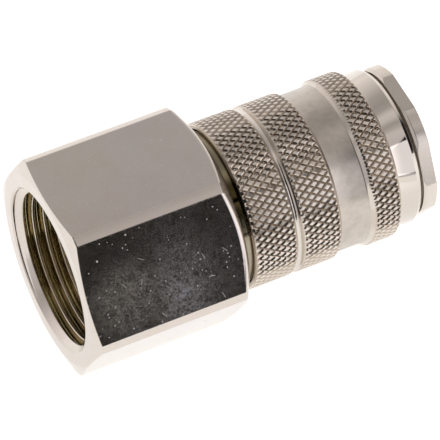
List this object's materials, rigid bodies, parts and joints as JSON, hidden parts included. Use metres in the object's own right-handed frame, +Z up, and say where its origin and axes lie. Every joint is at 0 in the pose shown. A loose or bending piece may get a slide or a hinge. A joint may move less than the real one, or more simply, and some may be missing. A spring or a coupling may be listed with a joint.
{
  "type": "pneumatic quick coupling",
  "caption": "Ball-lock air line coupling socket: threaded hexagon, knurled sleeve that slides back to release the plug, and a sprung shut-off valve inside.",
  "frame": {"origin": "on the surface that the coupling lies on, under the middle of its length", "axes": "+X along the coupling's axis, from the pipe thread to the plug's mouth; +Z up, from the hexagon's lower flat to its upper one"},
  "size_m": [0.0604, 0.036, 0.032],
  "materials": {
    "nickel_plate": "turned brass with a bright nickel plate",
    "bearing_steel": "polished",
    "spring_steel": "drawn wire",
    "brass": "turned",
    "valve_plastic": "moulded",
    "seal_rubber": "matt"
  },
  "bodies": {
    "base": {"threaded_body": "nickel_plate", "coupling_body": "nickel_plate", "spring_seat_washer": "spring_steel", "valve_guide": "brass", "guide_snap_ring": "spring_steel", "plug_seal": "seal_rubber", "body_seal": "seal_rubber"},
    "spring": {"sleeve_spring": "spring_steel"},
    "sleeve": {"locking_sleeve": "nickel_plate"},
    "valve": {"valve_poppet": "valve_plastic", "valve_seal": "seal_rubber", "valve_spring": "spring_steel"},
    "ball_1": {"locking_ball_1": "bearing_steel"},
    "ball_2": {"locking_ball_2": "bearing_steel"},
    "ball_3": {"locking_ball_3": "bearing_steel"},
    "ball_4": {"locking_ball_4": "bearing_steel"},
    "ball_5": {"locking_ball_5": "bearing_steel"},
    "ball_6": {"locking_ball_6": "bearing_steel"},
    "ball_7": {"locking_ball_7": "bearing_steel"},
    "ball_8": {"locking_ball_8": "bearing_steel"}
  },
  "joints": [
    {"name": "sleeve_slide", "type": "slide", "parent": "base", "child": "spring", "axis": [1, 0, 0], "range_m": [-0.0015, 0], "stiffness_N_per_m": 3000, "deforming": ["sleeve_spring"]},
    {"name": "sleeve_spin", "type": "hinge", "parent": "spring", "child": "sleeve", "pos_m": [0, 0, 0.016], "axis": [1, 0, 0], "continuous": true},
    {"name": "valve_slide", "type": "slide", "parent": "base", "child": "valve", "axis": [1, 0, 0], "range_m": [-0.005, 0], "stiffness_N_per_m": 400, "deforming": ["valve_spring"]},
    {"name": "ball_1_slide", "type": "slide", "parent": "base", "child": "ball_1", "axis": [0, 0, 1], "range_m": [0, 0.00091]},
    {"name": "ball_2_slide", "type": "slide", "parent": "base", "child": "ball_2", "axis": [0, 0.7071, 0.7071], "range_m": [0, 0.00091]},
    {"name": "ball_3_slide", "type": "slide", "parent": "base", "child": "ball_3", "axis": [0, 1, 0], "range_m": [0, 0.00091]},
    {"name": "ball_4_slide", "type": "slide", "parent": "base", "child": "ball_4", "axis": [0, 0.7071, -0.7071], "range_m": [0, 0.00091]},
    {"name": "ball_5_slide", "type": "slide", "parent": "base", "child": "ball_5", "axis": [0, 0, -1], "range_m": [0, 0.00091]},
    {"name": "ball_6_slide", "type": "slide", "parent": "base", "child": "ball_6", "axis": [0, -0.7071, -0.7071], "range_m": [0, 0.00091]},
    {"name": "ball_7_slide", "type": "slide", "parent": "base", "child": "ball_7", "axis": [0, -1, 0], "range_m": [0, 0.00091]},
    {"name": "ball_8_slide", "type": "slide", "parent": "base", "child": "ball_8", "axis": [0, -0.7071, 0.7071], "range_m": [0, 0.00091]}
  ],
  "couplings": [
    {"joint": "ball_1_slide", "follows": "sleeve_slide", "ratio": -0.6},
    {"joint": "ball_2_slide", "follows": "sleeve_slide", "ratio": -0.6},
    {"joint": "ball_3_slide", "follows": "sleeve_slide", "ratio": -0.6},
    {"joint": "ball_4_slide", "follows": "sleeve_slide", "ratio": -0.6},
    {"joint": "ball_5_slide", "follows": "sleeve_slide", "ratio": -0.6},
    {"joint": "ball_6_slide", "follows": "sleeve_slide", "ratio": -0.6},
    {"joint": "ball_7_slide", "follows": "sleeve_slide", "ratio": -0.6},
    {"joint": "ball_8_slide", "follows": "sleeve_slide", "ratio": -0.6}
  ]
}
